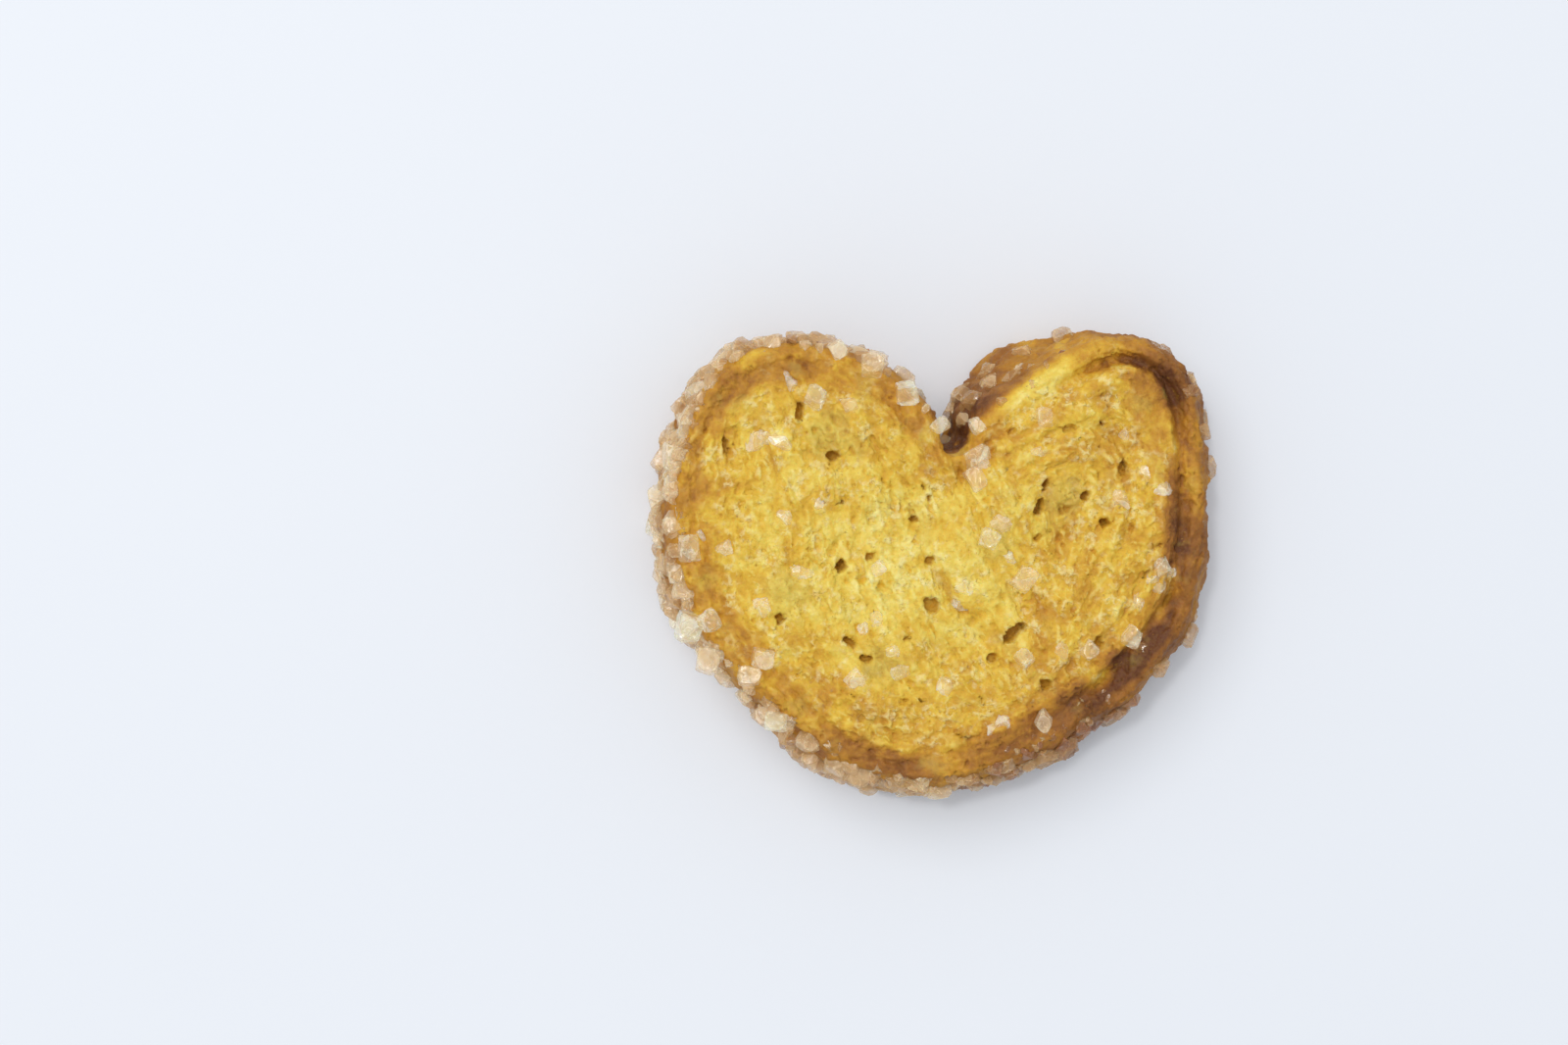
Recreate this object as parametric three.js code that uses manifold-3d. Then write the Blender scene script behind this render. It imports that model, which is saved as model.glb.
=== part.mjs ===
// Palmier: a slice of puff pastry whose sheet was sugared and rolled in from both ends, so that the
// two rolls bake into the lobes of a heart. Coarse sugar is baked on to its wall and its cut face.
// Millimetres. It lies flat with +Z up and its notch towards +Y, and the origin is under its middle.
import * as THREE from "three";
import { ConvexGeometry } from "three/addons/geometries/ConvexGeometry.js";
import { LoftGeometry } from "three/addons/geometries/LoftGeometry.js";
import { mergeVertices } from "three/addons/utils/BufferGeometryUtils.js";
import Module from "manifold-3d";

const wasm = await Module();
wasm.setup();

// Driving dimensions

const THICKNESS = 13; // from the sole to the cut face
const PLACE = [-0.63, 0.77]; // brings the middle of the finished slice over the origin

// The rim of the cut face, anticlockwise from the bottom of the notch: the left lobe, the long
// rounded foot, and the right lobe. Each point is x, y and how far the sole stands out beyond it.
const RIM = [
  [1.8, 10.8, 0.6],
  [0.2, 13.4, 0.0],
  [-2.9, 17.2, -0.2],
  [-7.9, 20.0, -0.3],
  [-13.8, 21.2, -0.4],
  [-19.4, 19.7, -0.9],
  [-23.4, 15.2, -0.4],
  [-25.3, 9.0, 0.6],
  [-25.5, 2.6, 1.2],
  [-23.9, -4.2, 1.1],
  [-20.3, -9.8, 0.9],
  [-15.2, -14.8, 1.2],
  [-9.0, -19.6, 1.7],
  [-2.2, -21.7, 1.9],
  [4.6, -20.7, 2.3],
  [10.8, -17.8, 2.8],
  [16.8, -14.0, 2.6],
  [22.2, -8.9, 1.8],
  [25.4, -3.0, 1.4],
  [26.4, 3.8, 1.5],
  [26.5, 10.4, 1.5],
  [25.9, 16.2, 1.1],
  [23.2, 20.2, 0.0],
  [18.8, 21.8, -0.5],
  [13.8, 20.1, 1.2],
  [8.4, 16.5, 3.2],
  [3.8, 13.0, 1.4],
];
const NOTCH = RIM[0];
const STATIONS_PER_POINT = 4; // cross sections between two points of the rim
const MIDDLE = [0.3, -2.5]; // the inner rings of the cut face close in on a small circle here
const MIDDLE_RADIUS = 2.0;

// The wall stands out between its two rounded edges
const WALL_SWELL = 0.6;
const SOLE_ROUND = 1.2;
const RIM_ROUND = 0.9;
const NOTCH_REACH = 6; // within this distance of the notch the wall stays upright
const RIPPLE = 0.4; // height of the lumps that run round the wall
const WALL_HEIGHTS = [0, 0.4, 1.6, 4.6, 8.0, 11.4, 12.6];

// The outermost turn of dough has sunk and come away from the right lobe, leaving a furrow
const TURN_WIDTH = 2.1;
const TURN_DROP = 0.9;
const FURROW_WIDTH = 0.75;
const FURROW_DEPTH = 1.9;
const FURROW_REST = 0.22; // what is left of the furrow along the other edges
const FACE_INSETS = [0.8, 1.4, TURN_WIDTH, 2.9, 4.2];
const FACE_SHARES = [0.22, 0.46, 0.72, 1]; // from the last inset to the middle
const FACE_WAVE = 0.3;

// Folds between the layers, as grooves along the face, and the longest two again along the sole:
// the seam between the rolls, the two turns of the left roll, and the turn of the right roll
const FOLD_WIDTH = 1.2;
const FOLD_DEPTH = 0.6;
const FOLDS = [
  [[2.0, 10.0], [3.1, 7.2], [4.9, 2.6], [7.3, -1.8], [8.8, -5.0]],
  [[-14.5, 17.4], [-12.0, 13.4], [-9.8, 9.4], [-9.0, 5.0], [-9.3, -0.5], [-7.6, -7.0], [-3.4, -12.0]],
  [[-6.4, 11.8], [-2.8, 6.0], [-0.6, 0.2], [1.9, -3.7], [4.6, -7.6]],
  [[9.0, 11.2], [14.0, 13.2], [18.4, 11.6], [19.8, 6.6], [18.4, 0.8], [15.0, -4.4]],
];
const SOLE_FOLDS = FOLDS.slice(0, 2);

// Open pores in the cut face: x, y, length, width, depth and the turn of their length in degrees
const PORES = [
  [7.9, -7.1, 3.7, 1.3, 3.2, 42],
  [-10.2, 10.3, 1.7, 1.2, 2.4, 0],
  [-13.4, 14.7, 2.4, 1.0, 2.2, 80],
  [-20.6, 11.5, 2.2, 0.7, 1.8, 100],
  [-9.3, -0.5, 1.3, 1.2, 2.6, 10],
  [-6.5, 0.5, 1.4, 1.0, 1.6, 20],
  [-2.1, 4.1, 1.3, 0.9, 1.6, 0],
  [-0.5, 0.0, 1.4, 1.0, 1.4, 30],
  [-15.3, -5.5, 1.3, 0.9, 2.0, 100],
  [-8.6, -7.9, 2.0, 0.8, 2.2, -35],
  [-6.8, -9.6, 1.4, 0.7, 1.8, 0],
  [-0.4, -4.3, 2.0, 1.5, 1.9, -30],
  [5.8, -9.7, 1.3, 1.2, 2.0, 60],
  [10.3, 5.1, 2.2, 1.1, 3.0, 65],
  [10.9, 7.4, 1.2, 0.8, 2.0, 80],
  [14.9, 6.2, 1.1, 0.9, 2.0, 40],
  [16.9, 3.7, 1.3, 1.0, 2.2, 65],
  [18.7, 9.0, 1.7, 1.0, 2.2, 95],
  [11.1, -12.2, 1.2, 1.0, 2.0, 50],
  [16.3, -8.4, 1.2, 0.9, 1.8, 70],
];

// Sugar: the large crystals on the face and its rim, as x, y, size and how high the middle of the
// crystal stands over the cut face
const FACE_CRYSTALS = [
  [-6.4, 19.3, 2.6, 0.4],
  [-9.8, 20.7, 1.8, 0.0],
  [-12.0, 16.1, 2.1, 0.3],
  [-8.6, 15.4, 2.0, 0.3],
  [-2.9, 16.5, 2.1, 0.0],
  [1.2, 13.4, 1.7, 0.0],
  [3.6, 13.4, 1.8, -0.3],
  [4.2, 10.2, 2.4, -0.6],
  [3.9, 8.0, 2.3, -0.7],
  [10.8, 14.1, 1.9, 0.1],
  [5.2, 2.2, 2.0, 0.0],
  [8.8, -1.8, 2.4, -0.3],
  [22.6, -0.8, 2.0, -0.6],
  [19.6, -7.7, 2.0, 0.0],
  [8.9, -9.9, 2.1, -0.3],
  [15.3, -8.9, 1.6, 0.0],
  [-8.0, -11.4, 2.6, -0.6],
  [-16.9, -9.5, 2.5, 0.2],
  [-18.4, -11.2, 2.1, -0.4],
  [-22.2, -5.6, 2.3, -0.2],
  [-24.1, -6.3, 2.8, -1.0],
  [-22.3, -9.7, 2.5, -1.2],
  [-15.9, -15.6, 2.4, -0.6],
  [-24.3, 1.3, 2.8, -0.6],
  [10.8, -15.9, 1.7, -0.2],
];

// Sugar on the wall is thick round the left lobe and the foot, and thin on the right lobe
const WALL_CRYSTALS = 96;
const WALL_CRYSTAL_SIZES = [1.6, 2.7];
const WALL_CRYSTAL_LIFT = 0.08; // the middle stands out of the wall by this share of the size
const WALL_CRYSTAL_GAP = 0.85; // least distance between two middles, as a share of their size
const THIN_COVER = 0.3; // share of the thick cover that the right lobe has
const SUGAR_SEED = 20417;

const rimCurve = new THREE.CatmullRomCurve3(
  RIM.map(([x, y, flare]) => new THREE.Vector3(x, y, flare)),
  true,
  "catmullrom",
  0.5,
);

function smoothStep(low, high, value) {
  const t = Math.min(Math.max((value - low) / (high - low), 0), 1);
  return t * t * (3 - 2 * t);
}

function mix(a, b, share) {
  return a + (b - a) * share;
}

// The rim at a station from 0 to 1: its point, how far the sole stands out beyond it, and the
// level direction that points out of the slice
function rimAt(station) {
  const point = rimCurve.getPoint(station);
  const tangent = rimCurve.getTangent(station);
  const level = Math.hypot(tangent.x, tangent.y);
  return { x: point.x, y: point.y, flare: point.z, outX: tangent.y / level, outY: -tangent.x / level };
}

// How far an edge rounded to the given radius draws in at a distance from the flat it meets
function rounding(radius, distance) {
  const short = Math.max(radius - distance, 0);
  return radius - Math.sqrt(radius * radius - short * short);
}

// How far the wall stands out from the rim at a station and a height
function wallOut(rim, station, z) {
  const fromNotch = Math.hypot(rim.x - NOTCH[0], rim.y - NOTCH[1]);
  const free = smoothStep(0, NOTCH_REACH, fromNotch);
  const belly = Math.sin((Math.PI * z) / THICKNESS);
  const turn = 2 * Math.PI * station;
  const lumps = Math.sin(9 * turn + 0.35 * z) + 0.6 * Math.sin(20 * turn - 0.5 * z + 1.7);
  const edges = rounding(SOLE_ROUND, z) + rounding(RIM_ROUND, THICKNESS - z);
  const flare = rim.flare * (1 - z / THICKNESS) ** 0.8;
  return free * belly * (WALL_SWELL + RIPPLE * lumps) + flare - edges;
}

// How open the furrow is: fully round the right lobe, hardly elsewhere
function furrowOpen(rim) {
  const round = smoothStep(9, 14, rim.x) * smoothStep(-18, -14, rim.y);
  return mix(FURROW_REST, 1, round);
}

// The height of the cut face, where inset is the distance in from the rim
function faceHeight(x, y, inset, open) {
  const wave = Math.sin(0.31 * x + 0.8) * Math.cos(0.27 * y - 0.4) + 0.5 * Math.sin(0.42 * x - 0.3 * y);
  const settled = smoothStep(0.5, 4, inset);
  const furrow = Math.exp(-(((inset - TURN_WIDTH) / FURROW_WIDTH) ** 2));
  const sunk = 1 - smoothStep(TURN_WIDTH - 0.3, TURN_WIDTH + 0.7, inset);
  return THICKNESS + FACE_WAVE * wave * settled - open * (FURROW_DEPTH * furrow + TURN_DROP * sunk);
}

// A ring of points round the slice, one for each station
function ring(place) {
  const count = RIM.length * STATIONS_PER_POINT;
  const points = [];
  for (let i = 0; i < count; i += 1) {
    const station = i / count;
    points.push(place(rimAt(station), station));
  }
  return points;
}

function wallRing(z) {
  return ring((rim, station) => {
    const out = wallOut(rim, station, z);
    const sunk = TURN_DROP * furrowOpen(rim) * smoothStep(THICKNESS / 2, THICKNESS, z);
    return new THREE.Vector3(rim.x + out * rim.outX, rim.y + out * rim.outY, z - sunk);
  });
}

function faceRing(inset, share) {
  return ring((rim) => {
    const reach = Math.hypot(rim.x - MIDDLE[0], rim.y - MIDDLE[1]) / MIDDLE_RADIUS;
    const x = mix(rim.x - inset * rim.outX, MIDDLE[0] + (rim.x - MIDDLE[0]) / reach, share);
    const y = mix(rim.y - inset * rim.outY, MIDDLE[1] + (rim.y - MIDDLE[1]) / reach, share);
    const fromRim = inset + share * 20;
    return new THREE.Vector3(x, y, faceHeight(x, y, fromRim, furrowOpen(rim)));
  });
}

function bodyGeometry() {
  const sections = [
    ...WALL_HEIGHTS.map(wallRing),
    ...FACE_INSETS.map((inset) => faceRing(inset, 0)),
    ...FACE_SHARES.map((share) => faceRing(FACE_INSETS.at(-1), share)),
  ];
  return new LoftGeometry(sections, { capStart: true, capEnd: true });
}

function solidOf(geometry) {
  const corners = new THREE.BufferGeometry();
  corners.setAttribute("position", geometry.getAttribute("position"));
  corners.setIndex(geometry.index);
  const merged = mergeVertices(corners, 1e-4);
  const vertProperties = new Float32Array(merged.attributes.position.array);
  const triVerts = new Uint32Array(merged.index.array);
  return new wasm.Manifold(new wasm.Mesh({ numProp: 3, vertProperties, triVerts }));
}

function geometryOf(solid) {
  const mesh = solid.getMesh();
  const geometry = new THREE.BufferGeometry();
  geometry.setAttribute("position", new THREE.BufferAttribute(mesh.vertProperties, 3));
  geometry.setIndex(new THREE.BufferAttribute(mesh.triVerts, 1));
  geometry.computeVertexNormals();
  return geometry;
}

// A round rod laid along a fold: what it takes away is a groove of the fold's width and depth
function foldTool(points, z) {
  const radius = (FOLD_WIDTH ** 2 / 4 + FOLD_DEPTH ** 2) / (2 * FOLD_DEPTH);
  const above = z > 0 ? radius - FOLD_DEPTH : FOLD_DEPTH - radius;
  const path = new THREE.CatmullRomCurve3(points.map(([x, y]) => new THREE.Vector3(x, y, z + above)));
  const section = new THREE.Shape();
  section.absarc(0, 0, radius, 0, 2 * Math.PI);
  const settings = { steps: 8, curveSegments: 3, extrudePath: path };
  return new THREE.ExtrudeGeometry(section, settings);
}

function poreTool([x, y, length, width, depth, turn]) {
  const geometry = new THREE.SphereGeometry(1, 7, 4);
  geometry.scale(length / 2, width / 2, depth);
  geometry.rotateX(0.12);
  geometry.rotateZ(THREE.MathUtils.degToRad(turn));
  geometry.translate(x, y, THICKNESS);
  return geometry;
}

// A crystal: a box with eight uneven corners, turned so that its height follows the normal
function crystal(size, at, normal, draw) {
  const half = [0, 1, 2].map(() => (size / 2) * (0.8 + 0.34 * draw()));
  const corners = [];
  for (let i = 0; i < 8; i += 1) {
    const signs = [i & 1 ? 1 : -1, i & 2 ? 1 : -1, i & 4 ? 1 : -1];
    const [x, y, z] = signs.map((sign, axis) => sign * half[axis] * (0.6 + 0.5 * draw()));
    corners.push(new THREE.Vector3(x, y, z));
  }
  const geometry = new ConvexGeometry(corners);
  const spin = new THREE.Quaternion().setFromAxisAngle(new THREE.Vector3(0, 0, 1), 2 * Math.PI * draw());
  const lean = new THREE.Quaternion().setFromAxisAngle(new THREE.Vector3(1, 0, 0), 0.9 * (draw() - 0.5));
  const stand = new THREE.Quaternion().setFromUnitVectors(new THREE.Vector3(0, 0, 1), normal);
  geometry.applyQuaternion(stand.multiply(lean).multiply(spin));
  geometry.translate(at.x, at.y, at.z);
  return geometry;
}

// Numbers from 0 to 1 that come out the same on every run
function draws(seed) {
  let state = seed;
  return () => {
    state = (state * 1664525 + 1013904223) % 4294967296;
    return state / 4294967296;
  };
}

function faceCrystals(draw) {
  const up = new THREE.Vector3(0, 0, 1);
  return FACE_CRYSTALS.map(([x, y, size, rise]) => {
    const at = new THREE.Vector3(x, y, THICKNESS + rise);
    return crystal(size, at, up, draw);
  });
}

function wallCrystals(draw) {
  const placed = [];
  const geometries = [];
  while (geometries.length < WALL_CRYSTALS) {
    const station = draw();
    const size = mix(WALL_CRYSTAL_SIZES[0], WALL_CRYSTAL_SIZES[1], draw() ** 1.6);
    const z = mix(0.7 * size, THICKNESS - 0.4 * size, draw());
    const keep = draw();
    const rim = rimAt(station);
    const cover = mix(THIN_COVER, 1, smoothStep(2, 14, Math.max(-rim.x, -rim.y - 2)));
    const out = wallOut(rim, station, z) + WALL_CRYSTAL_LIFT * size;
    const at = new THREE.Vector3(rim.x + out * rim.outX, rim.y + out * rim.outY, z);
    const clear = placed.every((other) => {
      return other.at.distanceTo(at) > (WALL_CRYSTAL_GAP * (other.size + size)) / 2;
    });
    if (keep > cover || !clear) continue;
    placed.push({ at, size });
    geometries.push(crystal(size, at, new THREE.Vector3(rim.outX, rim.outY, 0), draw));
  }
  return geometries;
}

function palmierGeometry() {
  const draw = draws(SUGAR_SEED);
  let solid = solidOf(bodyGeometry());
  for (const points of FOLDS) solid = solid.subtract(solidOf(foldTool(points, THICKNESS)));
  for (const points of SOLE_FOLDS) solid = solid.subtract(solidOf(foldTool(points, 0)));
  for (const pore of PORES) solid = solid.subtract(solidOf(poreTool(pore)));
  for (const grain of [...faceCrystals(draw), ...wallCrystals(draw)]) solid = solid.add(solidOf(grain));
  return geometryOf(solid);
}

const pastry = new THREE.MeshStandardMaterial({ color: 0xe0b84a, roughness: 0.85, metalness: 0 });
const palmier = new THREE.Mesh(palmierGeometry(), pastry);
palmier.name = "palmier";
palmier.position.set(PLACE[0], PLACE[1], 0);

const group = new THREE.Group();
group.add(palmier);

export default group;
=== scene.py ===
import itertools
import math

import bmesh
import bpy
import numpy as np
from mathutils import Matrix, Quaternion, Vector
from mathutils.bvhtree import BVHTree


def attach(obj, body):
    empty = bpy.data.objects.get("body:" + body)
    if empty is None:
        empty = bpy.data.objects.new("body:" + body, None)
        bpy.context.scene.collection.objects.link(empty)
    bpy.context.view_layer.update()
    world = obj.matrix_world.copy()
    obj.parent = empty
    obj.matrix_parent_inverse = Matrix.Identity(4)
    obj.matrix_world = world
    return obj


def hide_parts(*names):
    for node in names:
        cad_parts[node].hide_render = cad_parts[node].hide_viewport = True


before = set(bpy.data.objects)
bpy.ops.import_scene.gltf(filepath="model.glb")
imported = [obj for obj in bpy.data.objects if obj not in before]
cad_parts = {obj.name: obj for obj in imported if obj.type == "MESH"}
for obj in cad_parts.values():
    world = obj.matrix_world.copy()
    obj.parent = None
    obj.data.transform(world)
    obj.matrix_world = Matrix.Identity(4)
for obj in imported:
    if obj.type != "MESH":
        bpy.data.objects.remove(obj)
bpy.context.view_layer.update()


# Camera: it stands over the slice and a little behind its left lobe, far enough off that the
# wall shows only where it flares or swells. It comes first because it settles what is seen.
CAMERA_TILT = math.radians(7)
CAMERA_HEADING = Vector((-0.85, 0.53)).normalized()
CAMERA_PLACE = Vector((-0.0516, 0.0271, 0.3586))
CAMERA_LENS = 81.9

lean = CAMERA_HEADING * math.sin(CAMERA_TILT)
camera_back = Vector((lean.x, lean.y, math.cos(CAMERA_TILT)))
camera_right = Vector((0, 1, 0)).cross(camera_back).normalized()
camera_up = camera_back.cross(camera_right)
camera = bpy.data.objects.new("camera", bpy.data.cameras.new("camera"))
camera.data.lens = CAMERA_LENS
camera.data.sensor_width = 36
camera_axes = Matrix((camera_right, camera_up, camera_back)).transposed().to_4x4()
camera.matrix_world = Matrix.Translation(CAMERA_PLACE) @ camera_axes
bpy.context.scene.collection.objects.link(camera)
bpy.context.scene.camera = camera


# Pastry: one slice cut from a sheet of puff pastry that was sugared and rolled in from both
# ends. Its two rolls bake into the lobes of a heart, the cut face opens into fine crumb whose
# layers follow the rolls, and the outermost turn browns. It lies on its sole.
MILLIMETRE = 0.001
PLACE = Vector((-0.63, 0.77, 0))  # brings the middle of the slice over the origin
THICKNESS = 13

# The rim of the cut face, anticlockwise from the notch: x, y and how far the sole stands out
RIM = np.array([
    (1.8, 10.8, 0.6), (0.2, 13.4, 0.0), (-2.9, 17.2, -0.2), (-7.9, 20.0, -0.3),
    (-13.8, 21.2, -0.4), (-19.4, 19.7, -0.9), (-23.4, 15.2, -0.4), (-25.3, 9.0, 0.6),
    (-25.5, 2.6, 1.2), (-23.9, -4.2, 1.1), (-20.3, -9.8, 0.9), (-15.2, -14.8, 1.2),
    (-9.0, -19.6, 1.7), (-2.2, -21.7, 1.9), (4.6, -20.7, 2.3), (10.8, -17.8, 2.8),
    (16.8, -14.0, 2.6), (22.2, -8.9, 1.8), (25.4, -3.0, 1.4), (26.4, 3.8, 1.5),
    (26.5, 10.4, 1.5), (25.9, 16.2, 1.1), (23.2, 20.2, 0.0), (18.8, 21.8, -0.5),
    (13.8, 20.1, 1.2), (8.4, 16.5, 3.2), (3.8, 13.0, 1.4),
])
STATIONS = 8 * len(RIM)
MIDDLE = np.array((0.3, -2.5))
MIDDLE_RADIUS = 2.0

WALL_SWELL = 0.6
RIPPLE = 0.4
SOLE_ROUND = 1.2
RIM_ROUND = 0.9
NOTCH_REACH = 6.0  # within this distance of the notch the wall stays upright
WALL_HEIGHTS = [0, 0.2, 0.6, 1.2, 2.2, 3.6, 5.2, 6.8, 8.4, 9.8, 11.0, 11.9, 12.4, 12.8]

TURN_WIDTH = 2.1  # the outermost turn, sunk and come away from the right lobe
TURN_DROP = 0.9
FURROW_WIDTH = 0.55
FURROW_DEPTH = 1.7
FURROW_REST = 0.22
FURROW_SLACK = 0.45  # how far the furrow is open between the corners of the right lobe
FURROW_CORNERS = [(19.5, 18.5, 6.0), (21.5, -8.0, 5.5)]
FACE_WAVE = 0.3
FACE_INSETS = [0.4, 0.8, 1.1, 1.4, 1.7, 2.1, 2.5, 2.9, 3.4, 4.2]
FACE_SHARES = [0.1, 0.22, 0.34, 0.46, 0.6, 0.72, 0.86, 1]


def smooth_step(low, high, value):
    share = np.clip((value - low) / (high - low), 0, 1)
    return share * share * (3 - 2 * share)


def rim_at(station):
    """x, y, flare and the level way out of the slice, at stations from 0 to 1 round the rim."""
    along = np.asarray(station) * len(RIM)
    index = np.floor(along).astype(int)
    share = (along - index)[..., None]
    before, start, end, after = (RIM[(index + step) % len(RIM)] for step in (-1, 0, 1, 2))
    leave = (end - before) / 2
    arrive = (after - start) / 2
    square = 3 * (end - start) - 2 * leave - arrive
    cube = 2 * (start - end) + leave + arrive
    point = start + share * (leave + share * (square + share * cube))
    tangent = leave + share * (2 * square + 3 * share * cube)
    level = np.hypot(tangent[..., 0], tangent[..., 1])
    return (*np.moveaxis(point, -1, 0), tangent[..., 1] / level, -tangent[..., 0] / level)


def rounding(radius, distance):
    """How far an edge of that radius draws in at a distance from the flat it meets."""
    short = np.maximum(radius - distance, 0)
    return radius - np.sqrt(radius * radius - short * short)


def wall_out(x, y, flare, station, z):
    """How far the wall stands out from the rim at a height."""
    free = smooth_step(0, NOTCH_REACH, np.hypot(x - RIM[0][0], y - RIM[0][1]))
    belly = np.sin(math.pi * z / THICKNESS)
    turn = 2 * math.pi * station
    lumps = np.sin(9 * turn + 0.35 * z) + 0.6 * np.sin(20 * turn - 0.5 * z + 1.7)
    edges = rounding(SOLE_ROUND, z) + rounding(RIM_ROUND, THICKNESS - z)
    standing = free * belly * (WALL_SWELL + RIPPLE * lumps)
    return standing + flare * (1 - z / THICKNESS) ** 0.8 - edges


def furrow_open(x, y):
    """From hardly open to 1, which it is round the right lobe."""
    opening = smooth_step(9, 14, x) * smooth_step(-18, -14, y)
    return FURROW_REST + (1 - FURROW_REST) * opening


def furrow_cut(x, y):
    """The share of its depth that the furrow has, most at the corners of the right lobe."""
    share = FURROW_SLACK
    for corner_x, corner_y, radius in FURROW_CORNERS:
        near = np.exp(-((x - corner_x) ** 2 + (y - corner_y) ** 2) / radius**2)
        share = share + (1 - FURROW_SLACK) * near
    return np.minimum(share, 1)


def face_height(x, y, inset, opening):
    wave = np.sin(0.31 * x + 0.8) * np.cos(0.27 * y - 0.4) + 0.5 * np.sin(0.42 * x - 0.3 * y)
    furrow = furrow_cut(x, y) * np.exp(-(((inset - TURN_WIDTH) / FURROW_WIDTH) ** 2))
    sunk = 1 - smooth_step(TURN_WIDTH - 0.3, TURN_WIDTH + 0.7, inset)
    settled = FACE_WAVE * wave * smooth_step(0.5, 4, inset)
    return THICKNESS + settled - opening * (FURROW_DEPTH * furrow + TURN_DROP * sunk)


def wall_ring(station, z):
    x, y, flare, out_x, out_y = rim_at(station)
    out = wall_out(x, y, flare, station, z)
    sunk = TURN_DROP * furrow_open(x, y) * smooth_step(THICKNESS / 2, THICKNESS, z)
    return np.stack((x + out * out_x, y + out * out_y, z - sunk), -1)


def level_ring(station, inset, share, draw_in):
    """A ring in from the rim by the inset, then by a share of the way to the middle."""
    x, y, flare, out_x, out_y = rim_at(station)
    reach = np.hypot(x - MIDDLE[0], y - MIDDLE[1]) / MIDDLE_RADIUS
    rim = np.stack((x, y), -1)
    edge = rim - np.asarray(inset + draw_in)[..., None] * np.stack((out_x, out_y), -1)
    return edge + share * (MIDDLE + (rim - MIDDLE) / reach[:, None] - edge), x, y, flare


def face_ring(station, inset, share):
    level, x, y, _ = level_ring(station, inset, share, 0)
    height = face_height(level[:, 0], level[:, 1], inset + 20 * share, furrow_open(x, y))
    return np.column_stack((level, height))


def sole_ring(station, inset, share):
    _, _, flare, _, _ = rim_at(station)
    level, _, _, _ = level_ring(station, inset, share, SOLE_ROUND - flare)
    return np.column_stack((level, np.zeros(len(level))))


def loft(rings):
    """A closed shell through rings of points, each ring extruded from the one before."""
    bm = bmesh.new()
    place = bm.verts.layers.int.new("place")
    verts = bmesh.ops.create_circle(bm, segments=STATIONS, radius=1)["verts"]
    for index, vert in enumerate(verts):
        vert[place] = index
        vert.co = rings[0][index]
    edges = bm.edges[:]
    for ring in rings[1:]:
        new = bmesh.ops.extrude_edge_only(bm, edges=edges)["geom"]
        edges = [part for part in new if isinstance(part, bmesh.types.BMEdge) and part.is_boundary]
        for vert in (part for part in new if isinstance(part, bmesh.types.BMVert)):
            vert.co = ring[vert[place]]
    bmesh.ops.holes_fill(bm, edges=[edge for edge in bm.edges if edge.is_boundary], sides=0)
    bmesh.ops.recalc_face_normals(bm, faces=bm.faces)
    mesh = bpy.data.meshes.new("shell")
    bm.to_mesh(mesh)
    bm.free()
    return mesh


def modified(mesh, kind, **settings):
    """A copy of the mesh with one modifier applied."""
    carrier = bpy.data.objects.new("carrier", mesh)
    bpy.context.scene.collection.objects.link(carrier)
    modifier = carrier.modifiers.new(kind, kind)
    for name, value in settings.items():
        setattr(modifier, name, value)
    result = bpy.data.meshes.new_from_object(
        carrier.evaluated_get(bpy.context.evaluated_depsgraph_get())
    )
    bpy.data.objects.remove(carrier)
    return result


def read_vectors(mesh, name):
    values = np.empty(3 * len(mesh.vertices), np.float32)
    mesh.vertices.foreach_get(name, values)
    return values.reshape(-1, 3).astype(float)


def write_places(mesh, places):
    mesh.vertices.foreach_set("co", places.astype(np.float32).ravel())
    mesh.update()


def chance(x, y, z, seed):
    """A number from 0 to 1 for each whole-numbered place, the same on every run."""
    mixed = (x * 73856093) ^ (y * 19349663) ^ (z * 83492791) ^ (seed * 2654435)
    mixed = ((mixed ^ (mixed >> 13)) * 1274126177) & 0xFFFFFFFF
    return ((mixed ^ (mixed >> 16)) & 0xFFFF) / 65535


def lumps(points, size, seed):
    """Smooth noise from -1 to 1 whose lumps are about that size."""
    place = points / size + 31.7 * seed
    corner = np.floor(place).astype(np.int64)
    within = place - corner
    ease = within**3 * (within * (within * 6 - 15) + 10)
    total = np.zeros(len(points))
    for step in itertools.product((0, 1), repeat=3):
        value = 2 * chance(*(corner + step).T, seed) - 1
        total += value * np.prod(np.where(step, ease, 1 - ease), axis=1)
    return total


LONG_SPOT = 1.7  # a spot's length along the layers against its width


def spots(x, y, way, pitch, radii, share, seed):
    """Soft long spots scattered on a grid of that pitch: 1 in a spot and 0 between them."""
    across = np.floor(x / pitch).astype(np.int64)
    along = np.floor(y / pitch).astype(np.int64)
    total = np.zeros(len(x))
    for step_x, step_y in itertools.product((-1, 0, 1), repeat=2):
        i = across + step_x
        j = along + step_y
        away_x = x - pitch * (i + chance(i, j, 1, seed))
        away_y = y - pitch * (j + chance(i, j, 2, seed))
        radius = radii[0] + (radii[1] - radii[0]) * chance(i, j, 3, seed) ** 2
        along_layer = away_x * way[0] + away_y * way[1]
        across_layer = away_y * way[0] - away_x * way[1]
        reach = np.hypot(along_layer / LONG_SPOT, across_layer)
        inside = 1 - smooth_step(0.55 * radius, radius, reach)
        total = np.maximum(total, np.where(chance(i, j, 4, seed) < share, inside, 0))
    return total


def flat(x, y, level=0):
    return np.stack((x, y, np.full_like(x, level)), -1)


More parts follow.
